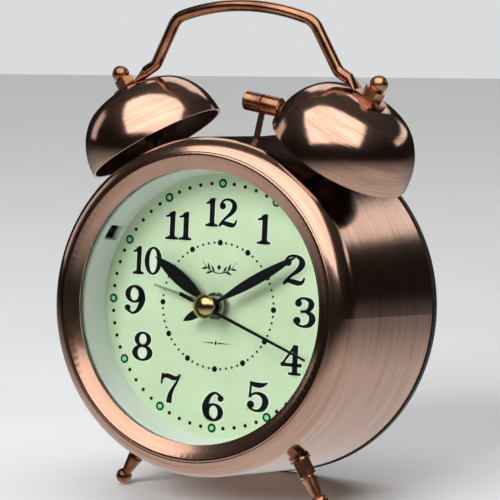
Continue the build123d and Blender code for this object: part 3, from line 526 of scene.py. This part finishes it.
def motif(black):
    """A plain leaf spray above the centre and a small ruled flourish below it."""
    spray = Print(PRINT_PROUD)

    def upper(x, y):
        return x, SPRAY_Z + y

    def lower(x, y):
        return x, FLOURISH_Z + y

    for side in (-1, 1):
        spray.stroke(spline([(0.0, -2.0, 0.30), (2.4 * side, -1.5, 0.34), (4.8 * side, 0.0, 0.24),
                             (6.2 * side, 2.0, 0.08)]), upper)
        for x, y, tip_x, tip_y in ((1.6, -1.7, 2.9, 0.6), (3.4, -1.0, 4.3, 1.4), (2.5, -1.45, 4.9, -2.2),
                                   (4.4, -0.35, 6.6, -0.7)):
            belly = ((0.55 * x + 0.45 * tip_x) * side, 0.55 * y + 0.45 * tip_y, 0.75)
            spray.stroke(spline([(x * side, y, 0.1), belly, (tip_x * side, tip_y, 0.05)]), upper)
        spray.stroke(spline([(0.9 * side, 0, 0.45), (2.6 * side, 0, 0.28), (5.4 * side, 0, 0.05)]), lower)
    spray.stroke([(0.0, -0.9, 0.1), (0.0, 0.0, 1.5), (0.0, 0.9, 0.1)], upper)
    spray.stroke([(0.0, -0.8, 0.05), (0.0, 0.0, 0.9), (0.0, 0.8, 0.05)], lower)
    spray.piece("dial_motif", black, "dial_green")


# ---- marks on the back cover -------------------------------------------------------------------------

COVER_BACK = 46.0         # dial's face to the back of the cover
BACK_PLANE = DRUM @ Matrix.Translation((0, COVER_BACK * MM, 0)) @ Matrix.Rotation(math.pi, 4, "Z")
MARK_PROUD = 0.35
MARK_W = 0.7              # width of raised lines
BUTTON_Z = 24.0
SWITCH_Z = 37.0
SIGN_X = 9.6              # the slide's two signs, left and right of it
ARROW_R = 8.3
ARROW_FROM = 215          # degrees anticlockwise from 3 o'clock
ARROW_SWEEP = 110
ARROW_STEPS = 24
ARROW_HEAD = (2.4, 2.6)   # length and width


def knob_at(joint):
    """Where a knob's axis meets the back cover, as seen from behind."""
    place = BACK_PLANE.inverted() @ Vector(JOINTS[joint]["pos_m"])
    return place.x / MM, place.z / MM


def back_marks():
    """Raised arrows by the knobs, rings round the button and the edge, signs at the slide."""
    marks = Print(MARK_PROUD, BACK_PLANE)
    for joint in ("alarm_knob_turn", "time_knob_turn"):
        x, z = knob_at(joint)
        arc = []
        for step in range(ARROW_STEPS + 1):
            turn = math.radians(ARROW_FROM + ARROW_SWEEP * step / ARROW_STEPS)
            arc.append((x + ARROW_R * math.cos(turn), z + ARROW_R * math.sin(turn), MARK_W))
        marks.stroke(arc, same)
        end_x, end_z, _ = arc[-1]
        length, width = ARROW_HEAD
        turn = math.radians(ARROW_FROM + ARROW_SWEEP + 90)
        tip_x, tip_z = end_x + length * math.cos(turn), end_z + length * math.sin(turn)
        marks.stroke([(end_x, end_z, width), (tip_x, tip_z, 0.1)], same)
    marks.oval(0, BUTTON_Z, 6.4, 6.4, same, (5.7, 5.7))
    marks.oval(SIGN_X, SWITCH_Z, 1.5, 1.5, same, (0.9, 0.9))
    marks.stroke([(-SIGN_X, SWITCH_Z - 1.6, MARK_W), (-SIGN_X, SWITCH_Z + 1.6, MARK_W)], same)
    marks.oval(0, 0, 54.6, 54.6, same, (53.9, 53.9), steps=120)
    marks.piece("back_marks", plastic("mark_black", (0.09, 0.09, 0.093), (0.22, 0.32)), "black_plastic")


# ---- floor, light and camera ----------------------------------------------------------------------------

CAMERA_AT = Vector((0.2886, -0.5285, 0.1618))
CAMERA_YAW = math.radians(28.36)
CAMERA_PITCH = math.radians(-7.73)
CAMERA_ROLL = math.radians(-0.73)
CAMERA_LENS = 131.73      # millimetres on a 36 mm sensor


def camera():
    data = bpy.data.cameras.new("camera")
    data.sensor_width = 36.0
    data.lens = CAMERA_LENS
    data.clip_start = 0.01
    obj = bpy.data.objects.new("camera", data)
    obj.matrix_world = (Matrix.Translation(CAMERA_AT) @ Matrix.Rotation(CAMERA_YAW, 4, "Z")
                        @ Matrix.Rotation(math.radians(90) + CAMERA_PITCH, 4, "X")
                        @ Matrix.Rotation(CAMERA_ROLL, 4, "Z"))
    bpy.context.collection.objects.link(obj)
    bpy.context.scene.camera = obj


def softbox(name, at, aim, size, radiance, mirrored=True, colour=(1, 1, 1)):
    """A large soft light. Mirrored ones are what the metal reflects; the others light the dull surfaces."""
    data = bpy.data.lights.new(name, "AREA")
    data.shape = "RECTANGLE"
    data.size, data.size_y = size
    data.energy = radiance * math.pi * size[0] * size[1]
    data.color = colour
    obj = bpy.data.objects.new(name, data)
    obj.location = at
    obj.rotation_euler = (Vector(aim) - Vector(at)).to_track_quat("-Z", "Y").to_euler()
    obj.visible_camera = False
    obj.visible_glossy = mirrored
    obj.visible_diffuse = not mirrored
    bpy.context.collection.objects.link(obj)


def overhead():
    """Even light from all of the ceiling, for the dull surfaces."""
    data = bpy.data.lights.new("overhead", "SUN")
    data.energy = 2.3
    data.angle = math.radians(80)
    obj = bpy.data.objects.new("overhead", data)
    obj.rotation_euler = (math.radians(-18), math.radians(-10), 0)
    obj.visible_glossy = False
    bpy.context.collection.objects.link(obj)


def floor():
    shader = Shader("floor")
    grain = shader.noise(shader.coords(), 14.0, 2.0, 0.5)
    shader.set(Base_Color=shader.mix(grain, (0.72, 0.73, 0.74), (0.76, 0.77, 0.78)),
               Roughness=shader.range(grain, 0.40, 0.50), Specular_IOR_Level=0.2)
    mesh = bpy.data.meshes.new("floor")
    bm = bmesh.new()
    bmesh.ops.create_grid(bm, x_segments=1, y_segments=1, size=3.0)
    bm.to_mesh(mesh)
    bm.free()
    mesh.materials.append(shader.material)
    obj = bpy.data.objects.new("floor", mesh)
    bpy.context.collection.objects.link(obj)
    obj.visible_glossy = False            # the metal mirrors the world's lower half instead


def world():
    """A studio of soft bands for the metal to mirror, behind a plain pale backdrop."""
    made = bpy.data.worlds.new("studio")
    made.use_nodes = True
    tree = made.node_tree
    tree.nodes.clear()
    coords = tree.nodes.new("ShaderNodeTexCoord")
    split = tree.nodes.new("ShaderNodeSeparateXYZ")
    tree.links.new(coords.outputs["Generated"], split.inputs[0])
    bands = tree.nodes.new("ShaderNodeValToRGB")
    stops = ((0.0, (0.72, 0.71, 0.70)), (0.28, (0.60, 0.59, 0.58)), (0.40, (0.22, 0.21, 0.205)),
             (0.45, (0.05, 0.047, 0.045)),
             (0.475, (0.012, 0.010, 0.009)), (0.62, (0.014, 0.012, 0.011)), (0.80, (0.05, 0.046, 0.043)),
             (1.0, (0.09, 0.085, 0.08)))
    elements = bands.color_ramp.elements
    while len(elements) < len(stops):
        elements.new(0.5)
    for element, (position, colour) in zip(elements, stops):
        element.position = position
        element.color = (*colour, 1)
    height = tree.nodes.new("ShaderNodeMapRange")
    height.inputs["From Min"].default_value = -1.0
    tree.links.new(split.outputs["Z"], height.inputs["Value"])
    tree.links.new(height.outputs["Result"], bands.inputs["Fac"])
    mirrored = tree.nodes.new("ShaderNodeBackground")
    tree.links.new(bands.outputs["Color"], mirrored.inputs["Color"])
    mirrored.inputs["Strength"].default_value = 1.1
    backdrop = tree.nodes.new("ShaderNodeBackground")
    backdrop.inputs["Color"].default_value = (0.70, 0.71, 0.72, 1)
    path = tree.nodes.new("ShaderNodeLightPath")
    blend = tree.nodes.new("ShaderNodeMixShader")
    tree.links.new(path.outputs["Is Camera Ray"], blend.inputs[0])
    tree.links.new(mirrored.outputs[0], blend.inputs[1])
    tree.links.new(backdrop.outputs[0], blend.inputs[2])
    output = tree.nodes.new("ShaderNodeOutputWorld")
    tree.links.new(blend.outputs[0], output.inputs["Surface"])
    bpy.context.scene.world = made


def stage():
    camera()
    floor()
    world()
    middle = (0, 0, 0.085)
    softbox("key_light", (-0.35, -1.30, 0.95), middle, (0.9, 0.9), 9.5, mirrored=False)
    overhead()
    warm = (1.0, 0.94, 0.88)
    softbox("front_card", (0.20, -0.58, 1.04), middle, (2.0, 1.55), 2.1, colour=warm)
    softbox("rear_card", (0.62, 1.10, 0.50), middle, (1.1, 0.19), 1.25, colour=warm)
    softbox("left_card", (-1.15, 0.05, 0.40), middle, (0.35, 0.5), 0.8, colour=warm)
    softbox("back_card", (-0.30, 0.95, 0.85), middle, (0.9, 0.5), 1.2, colour=warm)
    bpy.context.scene.view_settings.view_transform = "Standard"


# ---- dressing the CAD parts --------------------------------------------------------------------------

BELL_SPLAY = 31.0         # degrees; a bell's axis from the dial's upright, to either side
BELL_TURN = 1.5           # both bells, clockwise
BELL_NOD = 10.0           # forwards


def dress():
    give(brushed_copper("drum_copper", FACE, -AXIS, streak=0.9, roughness=(0.11, 0.18),
                        anisotropic=0.4, calm=0.42), "drum_case")
    give(brushed_copper("bezel_copper", FACE, -AXIS, streak=0.4, roughness=(0.15, 0.21),
                        anisotropic=0.1, calm=0.55), "bezel_ring")
    for side in ("left", "right"):
        low, high = (Vector(corner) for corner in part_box("bell_" + side))
        middle = (low + high) / 2
        splay = math.radians((BELL_SPLAY if side == "right" else -BELL_SPLAY) + BELL_TURN)
        nod = math.sin(math.radians(BELL_NOD))
        axis = Vector((math.sin(splay), -nod * math.cos(splay), math.cos(splay)))
        axis = (DRUM.to_3x3() @ axis).normalized()
        give(brushed_copper("bell_copper_" + side, middle, axis, streak=0.9, roughness=(0.09, 0.18),
                            anisotropic=0.3, calm=0.38, hollow=True), "bell_" + side)
    trim = glossy_copper("trim_copper", (0.20, 0.075, 0.035), (0.62, 0.32, 0.18))
    give(trim, "hammer_head", "foot_left", "foot_right", "foot_washers", "acorn_nuts")
    give(glossy_copper("handle_copper", (0.24, 0.10, 0.05), (0.50, 0.25, 0.14), (0.14, 0.24)), "handle")
    give(glossy_copper("stem_copper", (0.06, 0.025, 0.015), (0.26, 0.13, 0.08)), "hammer_stem")
    give(plain_metal("post_steel", (0.16, 0.13, 0.11)), "bell_posts")
    give(clear("clear_glass", (0.97, 1.0, 0.985), 1.2), "lens")
    give(plastic("reflector_white", (0.84, 0.86, 0.92), (0.25, 0.4)), "reflector_ring")
    give(plastic("dial_green", (0.50, 0.61, 0.41), (0.4, 0.5), 900.0, 0.00001), "dial")
    give(plastic("hand_black", (0.003, 0.004, 0.004), (0.3, 0.45), coat=0.1, specular=0.2),
         "hour_hand", "minute_hand", "second_hand")
    give(plain_metal("cap_brass", (0.78, 0.58, 0.26), (0.12, 0.22)), "second_cap")
    give(plastic("alarm_olive", (0.20, 0.24, 0.12), (0.3, 0.4)), "alarm_hand")
    nickel = plain_metal("nickel", (0.60, 0.59, 0.57))
    give(nickel, "mounting_nut", "inner_nuts", "stator", "quartz_crystal", "hammer_bracket",
         "hammer_motor", "hammer_pin", "hammer_lever", "battery_contacts", "case_lugs", "cover_screws",
         "cannon_pinion", "rotor")
    black = plastic("case_black", (0.012, 0.012, 0.013), (0.38, 0.55))
    give(black, "back_cover", "battery_box", "battery_door", "led_holder", "alarm_knob", "time_knob",
         "light_switch", "alarm_switch_body")
    give(plastic("control_black", (0.02, 0.02, 0.022), (0.2, 0.3), coat=0.3),
         "light_button", "alarm_switch")
    give(plastic("gear_cream", (0.70, 0.66, 0.55), (0.3, 0.45)), "movement_plate", "movement_housing",
         "alarm_wheel", "hour_wheel", "motion_wheel", "minute_wheel", "third_wheel", "seconds_wheel",
         "intermediate_wheel", "striker_gear", "motor_pinion")
    give(plastic("board_green", (0.03, 0.16, 0.07), (0.3, 0.4)), "circuit_board")
    give(plastic("winding", (0.40, 0.15, 0.06), (0.25, 0.35)), "coil")
    give(plastic("cell_wrap", (0.06, 0.06, 0.07), (0.2, 0.3), coat=0.4), "batteries")
    give(plastic("wire_red", (0.45, 0.03, 0.02), (0.3, 0.45)), "lead_wires")
    give(plastic("gasket_rubber", (0.42, 0.43, 0.42), (0.5, 0.65)), "lens_gasket")
    give(clear("lamp_clear", (0.85, 0.88, 0.90), 1.5, 0.05), "led_lamp")
    smooth(*frame["nodes"])


stage()
dress()
dial_print()
back_marks()
